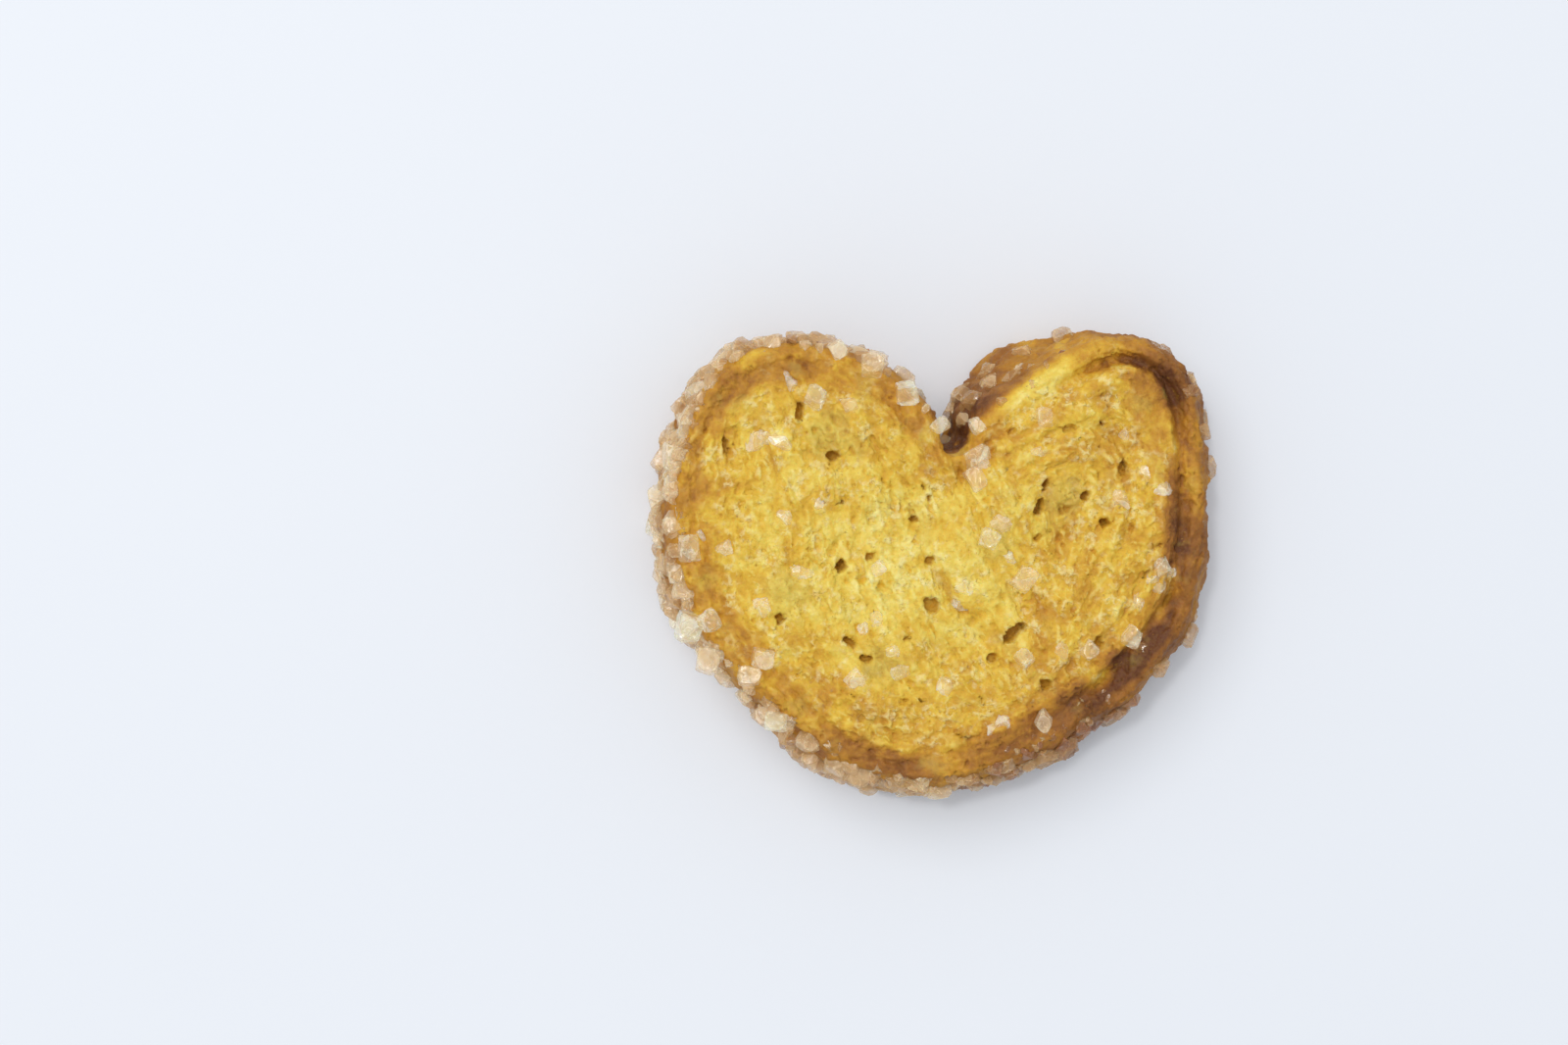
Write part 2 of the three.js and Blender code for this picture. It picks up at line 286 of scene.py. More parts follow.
# The face is worked out on a level grid first: how far in from the rim each place is, which way
# the layers of dough run there, and how they stand proud of each other
GRID_STEP = 0.15
GRID_LOW = np.array((-30.0, -27.0))
GRID_COUNT = (400, 350)
grid_x = GRID_LOW[0] + GRID_STEP * np.arange(GRID_COUNT[0])[:, None] + np.zeros(GRID_COUNT)
grid_y = GRID_LOW[1] + GRID_STEP * np.arange(GRID_COUNT[1])[None, :] + np.zeros(GRID_COUNT)

FOLD_WIDTH = 1.2
FOLD_DEPTH = 0.6
FOLDS = [
    [(2.0, 10.0), (3.1, 7.2), (4.9, 2.6), (7.3, -1.8), (8.8, -5.0)],
    [
        (-14.5, 17.4), (-12.0, 13.4), (-9.8, 9.4), (-9.0, 5.0), (-9.3, -0.5), (-7.6, -7.0),
        (-3.4, -12.0),
    ],
    [(-6.4, 11.8), (-2.8, 6.0), (-0.6, 0.2), (1.9, -3.7), (4.6, -7.6)],
    [(9.0, 11.2), (14.0, 13.2), (18.4, 11.6), (19.8, 6.6), (18.4, 0.8), (15.0, -4.4)],
]


def sample(field, x, y):
    """The value of a grid at places between its points."""
    across = np.clip((x - GRID_LOW[0]) / GRID_STEP, 0, GRID_COUNT[0] - 1.001)
    along = np.clip((y - GRID_LOW[1]) / GRID_STEP, 0, GRID_COUNT[1] - 1.001)
    i = across.astype(int)
    j = along.astype(int)
    u = across - i
    v = along - j
    low = field[i, j] * (1 - u) + field[i + 1, j] * u
    high = field[i, j + 1] * (1 - u) + field[i + 1, j + 1] * u
    return low * (1 - v) + high * v


def nearest(points):
    """How far each grid point is from a run of points, and which of them is the nearest."""
    distance = np.full(GRID_COUNT, np.inf)
    index = np.zeros(GRID_COUNT, int)
    for number, (x, y) in enumerate(points):
        reach = np.hypot(grid_x - x, grid_y - y)
        closer = reach < distance
        distance = np.where(closer, reach, distance)
        index = np.where(closer, number, index)
    return distance, index


def along_curve(points, count):
    """Points at even shares along a smooth open curve."""
    knots = np.array(points)
    knots = np.vstack((2 * knots[0] - knots[1], knots, 2 * knots[-1] - knots[-2]))
    place = np.linspace(0, len(points) - 1.0001, count)
    index = place.astype(int)
    share = (place - index)[:, None]
    before, start, end, after = (knots[index + step] for step in range(4))
    leave = (end - before) / 2
    arrive = (after - start) / 2
    square = 3 * (end - start) - 2 * leave - arrive
    cube = 2 * (start - end) + leave + arrive
    return start + share * (leave + share * (square + share * cube))


rim_x, rim_y, _, rim_out_x, rim_out_y = rim_at(np.linspace(0, 1, 433)[:-1])
rim_distance, rim_index = nearest(zip(rim_x, rim_y))
out_x_map = rim_out_x[rim_index]
out_y_map = rim_out_y[rim_index]
outside = (grid_x - rim_x[rim_index]) * out_x_map + (grid_y - rim_y[rim_index]) * out_y_map
inset_map = np.where(outside > 0, -rim_distance, rim_distance)


def layer_direction():
    """Which way the layers run, as the cosine and sine of twice their angle."""
    cosine = np.zeros(GRID_COUNT)
    sine = np.zeros(GRID_COUNT)
    guides = [(along_curve(fold, 14), 1.0) for fold in FOLDS]
    guides.append((np.column_stack((rim_x, rim_y))[::4], 0.7))
    for points, strength in guides:
        steps = np.gradient(points, axis=0)
        for (x, y), step in zip(points, steps):
            twice = 2 * math.atan2(step[1], step[0])
            pull = strength / ((grid_x - x) ** 2 + (grid_y - y) ** 2 + 2) ** 1.5
            cosine += pull * math.cos(twice)
            sine += pull * math.sin(twice)
    length = np.hypot(cosine, sine)
    return cosine / length, sine / length


layer_cosine, layer_sine = layer_direction()


def layer_way(x, y):
    angle = np.arctan2(sample(layer_sine, x, y), sample(layer_cosine, x, y)) / 2
    return np.stack((np.cos(angle), np.sin(angle)))


def streaks(size, reach, seed):
    """Noise of that size smeared to both sides along the layers."""
    total = lumps(flat(grid_x, grid_y).reshape(-1, 3), size, seed).reshape(GRID_COUNT)
    step = 0.6 * size
    for side in (1, -1):
        x, y = grid_x, grid_y
        last = None
        for _ in range(int(reach / step)):
            way = layer_way(x, y)
            if last is None:
                way = side * way
            else:
                way = np.where((way * last).sum(0) < 0, -way, way)
            last = way
            x, y = x + step * way[0], y + step * way[1]
            total = total + lumps(flat(x, y).reshape(-1, 3), size, seed).reshape(GRID_COUNT)
    return total / total.std() / 2


layer_map = streaks(0.95, 3.4, 3)
strand_map = streaks(0.4, 1.2, 5)
crack_map = streaks(1.5, 4.5, 7)
fold_map = np.zeros(GRID_COUNT)
for number, fold in enumerate(FOLDS):
    fold_distance, _ = nearest(along_curve(fold, 70))
    depth = FOLD_DEPTH * (0.75 + 0.5 * lumps(flat(grid_x, grid_y).reshape(-1, 3), 3, 40 + number))
    fold_map += depth.reshape(GRID_COUNT) * np.exp(-((fold_distance / (0.4 * FOLD_WIDTH)) ** 2))

# Open pores: x, y, length, width, depth and the turn of their length in degrees
PORES = [
    (7.9, -7.1, 3.7, 1.3, 3.2, 42), (-10.2, 10.3, 1.7, 1.2, 2.4, 0),
    (-13.4, 14.7, 2.4, 1.0, 2.2, 80), (-20.6, 11.5, 2.2, 0.7, 1.8, 100),
    (-9.3, -0.5, 1.3, 1.2, 2.6, 10), (-6.5, 0.5, 1.4, 1.0, 1.6, 20),
    (-2.1, 4.1, 1.3, 0.9, 1.6, 0), (-0.5, 0.0, 1.4, 1.0, 1.4, 30),
    (-15.3, -5.5, 1.3, 0.9, 2.0, 100), (-8.6, -7.9, 2.0, 0.8, 2.2, -35),
    (-6.8, -9.6, 1.4, 0.7, 1.8, 0), (-0.4, -4.3, 2.0, 1.5, 1.9, -30),
    (5.8, -9.7, 1.3, 1.2, 2.0, 60), (10.3, 5.1, 2.2, 1.1, 3.0, 65),
    (10.9, 7.4, 1.2, 0.8, 2.0, 80), (14.9, 6.2, 1.1, 0.9, 2.0, 40),
    (16.9, 3.7, 1.3, 1.0, 2.2, 65), (18.7, 9.0, 1.7, 1.0, 2.2, 95),
    (11.1, -12.2, 1.2, 1.0, 2.0, 50), (16.3, -8.4, 1.2, 0.9, 1.8, 70),
]
# Short slits and dimples between them
SLITS = [
    (-1.2, 7.4, 1.0, 0.4, 1.2, -60), (-0.5, 6.2, 0.9, 0.4, 1.0, -70),
    (-9.4, 5.8, 0.7, 0.5, 1.0, 0), (-5.2, 7.8, 1.1, 0.35, 0.9, -65),
    (-2.8, -7.7, 0.9, 0.5, 1.2, 0), (-8.1, -13.1, 0.8, 0.3, 1.0, -50),
    (-2.8, -13.8, 0.7, 0.5, 1.0, 10), (-1.2, -13.8, 1.2, 0.3, 1.0, -30),
    (2.6, -17.3, 1.0, 0.3, 0.9, -20), (13.3, 12.9, 1.6, 0.9, 0.9, 10),
    (7.6, 12.7, 1.0, 0.6, 1.0, 30), (16.6, 13.4, 0.9, 0.4, 1.2, -50),
    (10.3, 2.3, 1.2, 0.6, 1.0, 40), (12.8, 5.0, 1.6, 1.4, 0.8, 0),
    (22.0, 1.3, 1.5, 0.5, 1.0, 30), (21.0, -1.5, 1.4, 0.4, 1.2, 55),
    (16.1, -8.2, 1.6, 0.7, 1.3, 60), (10.7, -12.0, 0.6, 0.5, 1.0, 0),
    (4.7, -14.1, 1.3, 0.4, 0.9, -75), (18.6, 5.4, 0.8, 0.7, 0.7, 0),
]


PORE_FLOOR = 0.7  # crumb fills the rest of a pore's depth


def pore_depth(x, y):
    """How deep the pores are open at each place, with ragged edges."""
    ragged = 0.12 + 0.2 * lumps(flat(x, y), 0.8, 11)
    x = x + 0.17 * lumps(flat(x, y), 0.4, 12)
    y = y + 0.17 * lumps(flat(x, y), 0.4, 13)
    depth = np.zeros(len(x))
    for pore_x, pore_y, length, width, deep, turn in PORES + SLITS:
        angle = math.radians(turn)
        u = (x - pore_x) * math.cos(angle) + (y - pore_y) * math.sin(angle)
        v = (y - pore_y) * math.cos(angle) - (x - pore_x) * math.sin(angle)
        reach = np.hypot(u / (length / 2), v / (width / 2)) + ragged
        depth = np.maximum(depth, PORE_FLOOR * deep * (1 - smooth_step(0.86, 1.04, reach)))
    return depth


# Where the outermost turn has puffed out, or drawn in: x, y, radius and height
PUFFS = [
    (27.2, 5.0, 4.0, 0.4), (26.6, -0.6, 3.2, 0.9), (24.4, -7.0, 4.0, 1.4), (18.8, -13.0, 3.6, 1.3),
    (12.6, -17.4, 3.4, 1.0), (7.6, 20.6, 2.6, 0.5), (4.0, 16.6, 1.8, 0.6), (2.8, 11.8, 1.9, -1.2),
]


def puffed_out(x, y):
    return sum(
        height * np.exp(-((x - puff_x) ** 2 + (y - puff_y) ** 2) / radius**2)
        for puff_x, puff_y, radius, height in PUFFS
    )


def facing(mesh):
    """How much each point of a mesh faces up, down and sideways."""
    normal = read_vectors(mesh, "normal")
    up = smooth_step(0.25, 0.8, normal[:, 2])
    down = smooth_step(0.25, 0.8, -normal[:, 2])
    return normal, up, down, 1 - up - down


def form(mesh):
    """Folds and layers in the cut faces, and blisters in the wall."""
    places = read_vectors(mesh, "co")
    normal, up, down, side = facing(mesh)
    x, y, _ = places.T
    inset = sample(inset_map, x, y)
    opening = furrow_open(x, y)
    inside = smooth_step(0.2, 2.2, inset)
    layers = sample(layer_map, x, y)
    blister = lumps(places, 2.6, 21)
    cracked = smooth_step(-0.1, 0.5, lumps(flat(x, y), 3.1, 24)) * inside
    face = 0.16 * layers + 0.3 * lumps(flat(x, y), 4.3, 25) * inside
    face += 0.22 * lumps(flat(x, y), 1.8, 22) * inside
    face -= 0.42 * cracked * np.exp(-((sample(crack_map, x, y) / 0.11) ** 2))
    face += 0.45 * blister * opening * (1 - smooth_step(1.8, 2.6, inset))
    face -= sample(fold_map, x, y) * inside
    sole = 0.3 * smooth_step(-0.4, 1, layers) * inside + 0.6 * sample(fold_map, x, y) * inside
    sole += 0.25 * smooth_step(0, 1, blister)
    wall = 0.34 * blister + 0.2 * lumps(places, 1.3, 23) + puffed_out(x, y)
    drift = up * puffed_out(x, y) * (1 - smooth_step(1.5, 6, inset))
    places[:, 2] += up * face + down * sole
    places[:, 0] += side * wall * normal[:, 0] + drift * sample(out_x_map, x, y)
    places[:, 1] += side * wall * normal[:, 1] + drift * sample(out_y_map, x, y)
    places[:, 2] = np.maximum(places[:, 2], 0)
    write_places(mesh, places)


def terraced(value):
    """Turns a slope into flat treads with short steep steps between them."""
    tread = np.floor(value)
    return tread + smooth_step(0.32, 0.68, value - tread)


def crumb_height(x, y):
    """How far the fine crumb of a cut face stands proud: torn layers, froth and small pits."""
    frothy = smooth_step(-0.3, 0.4, lumps(flat(x, y), 3.2, 30))
    warp_x = x + 0.3 * lumps(flat(x, y), 0.7, 35)
    warp_y = y + 0.3 * lumps(flat(x, y), 0.7, 36)
    torn = 1.5 * sample(layer_map, warp_x, warp_y) + 1.3 * lumps(flat(warp_x, warp_y), 2.4, 39)
    torn = (terraced(torn) - torn) * (0.7 + 0.5 * lumps(flat(x, y), 3.6, 29))
    froth = 0.5 - np.abs(lumps(flat(warp_x, warp_y), 0.6, 31)) * 2.2
    way = layer_way(x, y)
    pits = 0.3 * spots(warp_x, warp_y, way, 1.3, (0.1, 0.42), 0.4, 32)
    pits = np.maximum(pits, 0.18 * spots(warp_x, warp_y, way, 0.7, (0.08, 0.2), 0.5, 38))
    fine = 0.07 * sample(strand_map, x, y) + 0.05 * lumps(flat(x, y), 0.3, 33)
    return 0.38 * torn + fine + (0.02 + 0.11 * frothy) * froth - (0.6 + 0.6 * frothy) * pits


def crumb(mesh):
    """The fine crumb and the pores of the cut faces, and the blistered skin of the wall."""
    places = read_vectors(mesh, "co")
    normal, up, down, side = facing(mesh)
    x, y, _ = places.T
    wall = 0.19 * lumps(places, 0.75, 34) + 0.12 * lumps(places, 0.4, 37)
    places += ((up + 0.6 * down) * crumb_height(x, y) + side * wall)[:, None] * normal
    places[:, 2] -= up * pore_depth(x, y)
    places[:, 2] = np.maximum(places[:, 2], 0)
    write_places(mesh, places)


# How brown the oven left the outer turns, from 0 to 1, and where they are darker or paler than
# that: the corners and the side of the right lobe, the foot, and its ridge by the notch
TOASTED = 0.42
TOASTED_ZONES = [
    (22.5, 18, 5, 0.34), (25, -1, 9, 0.26), (19.5, -12, 6, 0.62), (10, -19, 4.5, 0.25),
    (-4.5, -20.5, 6, 0.26), (9.5, 17.5, 5, -0.4), (17.5, 21.8, 2.2, -0.15),
]
BURNT_FURROW = 0.3  # how much more the furrow inside the outermost turn caught
BURNT_INSET = 2.6
BURNT_WIDTH = 0.9
BAKED_WALL = 0.58
BAKED_SOLE = 0.6
DARKEST = 0.95
# Patches of the crumb inside them that caught more heat: x, y, radius and how much
SCORCHES = [
    (21.8, 13.0, 2.2, 0.14), (20.6, 17.6, 1.6, 0.22), (22.6, 15.8, 1.5, 0.22),
    (-14.0, 19.0, 1.6, 0.12), (-12.5, 16.8, 3.0, 0.06), (-23.6, 7.6, 1.6, 0.08),
    (-19.6, 16.6, 2.2, 0.08), (19.0, -11.0, 1.4, 0.14), (22.4, -7.2, 1.5, 0.16),
]
# Where the crumb stayed damp, smooth and a little see-through: x, y, radius
DAMP = [
    (-10.6, 12.4, 3.0), (-14.2, -2.6, 2.6), (6.0, 2.2, 2.6), (13.2, 6.4, 2.4),
    (-5.2, -10.4, 2.6),
]


def toasting(x, y, inset):
    """How brown the outer turns are."""
    off_furrow = (inset + puffed_out(x, y) - BURNT_INSET) / BURNT_WIDTH
    burnt = BURNT_FURROW * furrow_open(x, y) * furrow_cut(x, y)
    brown = TOASTED + burnt * np.exp(-(off_furrow**2))
    for zone_x, zone_y, radius, more in TOASTED_ZONES:
        brown += more * np.exp(-((x - zone_x) ** 2 + (y - zone_y) ** 2) / radius**2)
    return brown


def browning(x, y, z, inset, walled):
    """From 0, pale crumb, to 1, darkest crust, with painted shadow darkening the wall down in the
    notch.
    """
    near = lumps(flat(x, y, z), 3.2, 51) + 0.6 * lumps(flat(x, y, z), 1.3, 52)
    pale = np.exp(-(((x + 4) / 13) ** 2) - (y / 10) ** 2)
    brown = 0.29 - 0.19 * pale + 0.04 * near + 0.05 * (1 - smooth_step(2, 6, inset))
    brown += 0.04 * smooth_step(4, 14, x) * smooth_step(-14, 4, -y) + 0.05 * smooth_step(8, 16, -y)
    outer = 1 - smooth_step(1.6, 3.7, inset + puffed_out(x, y) - 0.9 * near)
    brown += outer * (toasting(x, y, inset) + 0.09 * near - brown)
    for scorch_x, scorch_y, radius, strength in SCORCHES:
        brown += strength * np.exp(-((x - scorch_x) ** 2 + (y - scorch_y) ** 2) / radius**2)
    wall = np.maximum(1 - smooth_step(-1.0, 0.2, inset), walled)
    baked_and_notch_shade = BAKED_WALL + 0.08 * smooth_step(1, 9, x) + 0.09 * near
    baked_and_notch_shade -= 0.2 * np.exp(-((x - 12) ** 2 + (y - 21.5) ** 2) / 16)
    # Painted shadow: the wall down in the notch, which the lobes shade, is made darker brown
    baked_and_notch_shade += 0.28 * np.exp(-((x - 3) ** 2 + (y - 13) ** 2) / 12)
    brown += wall * (baked_and_notch_shade - brown)
    sole = (1 - smooth_step(2, 9, z)) * (1 - wall)
    return np.clip(brown + 0.5 * sole * (BAKED_SOLE - brown), 0, DARKEST)


def store(mesh, name, values):
    attribute = mesh.attributes.new(name, "FLOAT", "POINT")
    attribute.data.foreach_set("value", values.astype(np.float32))


MOST_TRIANGLES = 190000
FORM_VOXEL = 0.3
CRUMB_VOXEL = 0.2

stations = np.arange(STATIONS) / STATIONS
rings = [sole_ring(stations, FACE_INSETS[-1], share) for share in reversed(FACE_SHARES)]
rings += [sole_ring(stations, inset, 0) for inset in reversed(FACE_INSETS)]
rings += [wall_ring(stations, z) for z in WALL_HEIGHTS]
rings.append(wall_ring(stations, THICKNESS))
rings += [face_ring(stations, inset, 0) for inset in FACE_INSETS]
rings += [face_ring(stations, FACE_INSETS[-1], share) for share in FACE_SHARES]
pastry_mesh = modified(loft(rings), "REMESH", mode="VOXEL", voxel_size=FORM_VOXEL)
form(pastry_mesh)
pastry_mesh = modified(pastry_mesh, "REMESH", mode="VOXEL", voxel_size=CRUMB_VOXEL)
crumb(pastry_mesh)
triangles = 2 * len(pastry_mesh.polygons)
pastry_mesh = modified(pastry_mesh, "DECIMATE", ratio=min(1, MOST_TRIANGLES / triangles))

places = read_vectors(pastry_mesh, "co")
places[:, 2] = np.maximum(places[:, 2], 0)
write_places(pastry_mesh, places)
x, y, z = places.T
inset = sample(inset_map, x, y)
_, up, down, side = facing(pastry_mesh)
level = face_height(x, y, np.maximum(inset, 0), furrow_open(x, y))
# Painted shade: how far below the face a place lies, in pores, cracks and the furrow, to darken it
deep = smooth_step(0.5, 1.2, level - z) * smooth_step(0.6, 1.4, inset) * smooth_step(5, 8, z)
walled = side * (1 - smooth_step(9, 11, z)) * (1 - smooth_step(1.5, 3, inset))
store(pastry_mesh, "brown", browning(x, y, z, inset, walled))
damp = sum(np.exp(-((x - dx) ** 2 + (y - dy) ** 2) / radius**2) for dx, dy, radius in DAMP)
store(pastry_mesh, "damp", damp * smooth_step(6, 9, z))
store(pastry_mesh, "layer", sample(layer_map, x, y))
store(pastry_mesh, "crumb", crumb_height(x, y))
store(pastry_mesh, "strand", sample(strand_map, x, y))
store(pastry_mesh, "deep", deep)
store(pastry_mesh, "cut", smooth_step(-0.2, 1.2, inset) * (1 - walled))

bm = bmesh.new()
bm.from_mesh(pastry_mesh)
crumb_surface = BVHTree.FromBMesh(bm)
bm.free()


class Wire:
    """An output socket of a material, on which + - and * add Math nodes."""

    def __init__(self, shader, socket):
        self.shader = shader
        self.socket = socket

    def math(self, operation, first, second):
        return self.shader.node("ShaderNodeMath", {"operation": operation}, {0: first, 1: second})

    def __add__(self, other):
        return self.math("ADD", self, other)

    def __sub__(self, other):
        return self.math("SUBTRACT", self, other)

    def __rsub__(self, other):
        return self.math("SUBTRACT", other, self)

    def __mul__(self, other):
        return self.math("MULTIPLY", self, other)

    __radd__ = __add__
    __rmul__ = __mul__


class Shader:
    """A material made of nodes, with one Principled surface."""

    def __init__(self, name):
        self.material = bpy.data.materials.new(name)
        self.material.use_nodes = True
        self.tree = self.material.node_tree
        self.surface = self.tree.nodes["Principled BSDF"]

    def node(self, kind, settings, sockets, output=0):
        """Adds a node: its settings first, then the values or wires of its sockets."""
        made = self.tree.nodes.new(kind)
        for name, value in settings.items():
            if name == "stops":
                for extra in range(len(value) - 2):
                    made.color_ramp.elements.new(0.5)
                for element, (position, colour) in zip(made.color_ramp.elements, value):
                    element.position = position
                    element.color = (*colour, 1)
            else:
                setattr(made, name, value)
        for name, value in sockets.items():
            self.set(made.inputs[name], value)
        return Wire(self, made.outputs[output])

    def set(self, socket, value):
        if isinstance(value, Wire):
            self.tree.links.new(value.socket, socket)
        elif isinstance(value, tuple) and len(value) == 3 and socket.type == "RGBA":
            socket.default_value = (*value, 1)
        else:
            socket.default_value = value

    def finish(self, **sockets):
        for name, value in sockets.items():
            self.set(self.surface.inputs[name.replace("_", " ")], value)
        return self.material

    def attribute(self, name):
        return self.node("ShaderNodeAttribute", {"attribute_name": name}, {}, "Fac")

    def place(self):
        """Where a point is on the piece, in millimetres."""
        metres = self.node("ShaderNodeTexCoord", {}, {}, "Object")
        scaled = {"operation": "SCALE"}
        return self.node("ShaderNodeVectorMath", scaled, {0: metres, "Scale": 1000.0})

    def noise(self, place, size, detail=3.0, rough=0.55, warp=0.0):
        """Noise from 0 to 1 whose lumps are about that many millimetres across."""
        values = {"Vector": place, "Scale": 1 / size, "Detail": detail, "Roughness": rough}
        return self.node("ShaderNodeTexNoise", {}, {**values, "Distortion": warp})

    def cells(self, place, size, feature="F1"):
        values = {"Vector": place, "Scale": 1 / size}
        return self.node("ShaderNodeTexVoronoi", {"feature": feature}, values)

    def between(self, value, low, high):
        """0 below low, 1 above high and smooth between."""
        limits = {"From Min": low, "From Max": high}
        smooth = {"interpolation_type": "SMOOTHSTEP"}
        return self.node("ShaderNodeMapRange", smooth, {"Value": value, **limits})

    def blend(self, share, first, second):
        """The first colour or wire turning into the second."""
        values = {0: share, 6: first, 7: second}
        return self.node("ShaderNodeMix", {"data_type": "RGBA"}, values, 2)

    def ramp(self, value, stops):
        return self.node("ShaderNodeValToRGB", {"stops": stops}, {0: value}, "Color")

    def bump(self, height, distance, strength=1.0, normal=None):
        values = {"Height": height, "Distance": distance, "Strength": strength}
        if normal is not None:
            values["Normal"] = normal
        return self.node("ShaderNodeBump", {}, values)


def pastry_material():
    shader = Shader("baked_pastry")
    place = shader.place()
    patch = shader.between(shader.noise(place, 2.6, 3), 0.36, 0.64)
    mottle = shader.between(shader.noise(place, 0.9, 3, 0.6), 0.34, 0.66)
    grain = shader.noise(place, 0.35, 3, 0.6, 0.4)
    layer = shader.attribute("layer")
    crest_froth_and_light = shader.attribute("crumb")
    deep = shader.attribute("deep")
    cut = shader.attribute("cut")
    baked_and_notch_shade = shader.attribute("brown")
    strand = shader.attribute("strand")
    brown = baked_and_notch_shade + (patch - 0.5) * 0.13 + (mottle - 0.5) * 0.07
    # Painted highlight on raised crumb and painted shade in its hollows; the layer streaks are its
    # own
    brown = brown + (grain - 0.5) * 0.07 - (layer * 0.035 + strand * 0.03 + crest_froth_and_light * 0.23) * cut
    colour = shader.ramp(brown, [
        (0.00, (0.90, 0.76, 0.24)),
        (0.12, (0.82, 0.61, 0.10)),
        (0.26, (0.74, 0.46, 0.042)),
        (0.44, (0.56, 0.265, 0.022)),
        (0.64, (0.33, 0.125, 0.019)),
        (0.88, (0.13, 0.038, 0.012)),
    ])
    wet = shader.between(shader.attribute("damp") + (patch - 0.5) * 0.5, 0.3, 0.9)
    chance_wet = shader.between(shader.noise(place, 3.0, 2), 0.56, 0.70) * cut * 0.5
    colour = shader.blend(wet * 0.4 + chance_wet * 0.5, colour, (0.62, 0.50, 0.11))
    # Froth: clusters of burst bubbles, crumbly pale tops round small pits. Tops are painted
    # highlight too.
    pale = (1 - shader.between(baked_and_notch_shade, 0.3, 0.5)) * (1 - wet * 0.7) * cut
    clusters = shader.between(shader.noise(place, 2.2, 3), 0.46, 0.62) * pale
    swirl = shader.node("ShaderNodeTexNoise", {}, {"Vector": place, "Scale": 1.6}, "Color")
    shift = {"operation": "MULTIPLY_ADD"}
    warped = shader.node("ShaderNodeVectorMath", shift, {0: swirl, 1: (0.9, 0.9, 0.9), 2: place})
    lace = 1 - shader.between(shader.cells(warped, 0.9, "DISTANCE_TO_EDGE"), 0.05, 0.36)
    lace = lace * shader.between(shader.noise(place, 0.7, 2), 0.42, 0.6)
    pit = 1 - shader.between(shader.cells(warped, 0.8), 0.16, 0.36)
    rare = shader.between(shader.noise(place, 0.9, 1), 0.5, 0.58) * clusters
    # Painted highlight as well as froth: the raised crumb turns pale cream
    froth_and_lit_tops = shader.between(crest_froth_and_light + (grain - 0.5) * 0.2, 0.0, 0.18) * pale
    colour = shader.blend(froth_and_lit_tops * 0.35, colour, (0.91, 0.77, 0.28))
    colour = shader.blend(lace * clusters * 0.5, colour, (0.95, 0.85, 0.44))
    # Painted shade: the small pits, dimpled only by the bump, are painted darker brown
    colour = shader.blend(pit * rare * 0.45, colour, (0.56, 0.33, 0.035))
    specks = shader.between(shader.noise(place, 0.5, 2, 0.6), 0.66, 0.72) * cut
    colour = shader.blend(specks * 0.45, colour, (0.44, 0.23, 0.03))
    shade = shader.between(shader.noise(place, 0.26, 2, 0.6), 0.3, 0.7)
    colour = shader.blend((1 - shade) * 0.1, colour, (0.42, 0.26, 0.03))
    # Painted shade: recesses below the face, the pores most, darkened towards brown
    colour = shader.blend(deep * 0.8, colour, (0.52, 0.27, 0.024))
    roughness = 0.56 + (grain - 0.5) * 0.3
    relief = grain * 0.7 + (lace * 0.2 - pit * 0.4) * clusters
    bump = shader.bump(relief, 0.0002, 1.0)
    return shader.finish(
        Base_Color=colour,
        Roughness=roughness,
        Normal=bump,
        Subsurface_Weight=0.18,
        Subsurface_Radius=(1.0, 0.55, 0.2),
        Subsurface_Scale=0.0012,
        Specular_IOR_Level=0.3,
    )


def finish_piece(mesh, name, material, smooth=True):
    """Makes the mesh metres, moves it to its place, and makes it a piece of the object."""
    mesh.transform(Matrix.Scale(MILLIMETRE, 4) @ Matrix.Translation(PLACE))
    mesh.name = name
    mesh.materials.clear()
    mesh.materials.append(material)
    mesh.shade_smooth() if smooth else mesh.shade_flat()
    piece = bpy.data.objects.new(name, mesh)
    bpy.context.scene.collection.objects.link(piece)
    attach(piece, "root")
    return piece


pastry = finish_piece(pastry_mesh, "baked_pastry", pastry_material())
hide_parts("palmier")


# Sugar crystals: coarse sugar that the roll was coated with and that the cut face was dipped
# in. Each is a chipped block, half sunk in the dough and held by its own caramel. They lie
# thick round the left lobe and the foot, and thin on the right lobe.
FACE_CRYSTALS = [
    (-6.4, 19.2, 2.6, 0.2), (-9.8, 20.7, 1.8, 0.0), (-12.0, 16.1, 2.1, 0.3),
    (-8.6, 15.4, 2.0, 0.3), (-2.9, 16.5, 2.1, 0.0), (0.5, 13.3, 1.7, -0.4),
    (4.1, 13.3, 1.8, -0.5), (4.2, 10.2, 2.4, -0.6), (3.9, 8.0, 2.3, -0.7),
    (10.8, 14.1, 1.9, 0.1), (5.2, 2.2, 2.0, 0.0), (8.8, -1.8, 2.4, -0.3),
    (22.6, -0.8, 2.0, -0.6), (19.6, -7.7, 2.0, 0.0), (8.9, -9.9, 2.1, -0.3),
    (15.3, -8.9, 1.6, 0.0), (-8.0, -11.4, 2.6, -0.6), (-16.9, -9.5, 2.5, 0.2),
    (-18.4, -11.2, 2.1, -0.4), (-22.2, -5.6, 2.3, -0.2), (-24.1, -6.3, 2.8, -1.0),
    (-22.3, -9.7, 2.5, -1.2), (-15.9, -15.6, 2.4, -0.6), (-24.3, 1.3, 2.8, -0.6),
    (10.8, -15.9, 1.7, -0.2),
]
FACE_CRYSTAL_LIFT = 0.25
WALL_CRYSTALS = 96
WALL_CRYSTAL_SIZES = (1.6, 2.7)
WALL_CRYSTAL_LIFT = 0.08
WALL_CRYSTAL_GAP = 0.85
THIN_COVER = 0.3
SUGAR_SEED = 20417
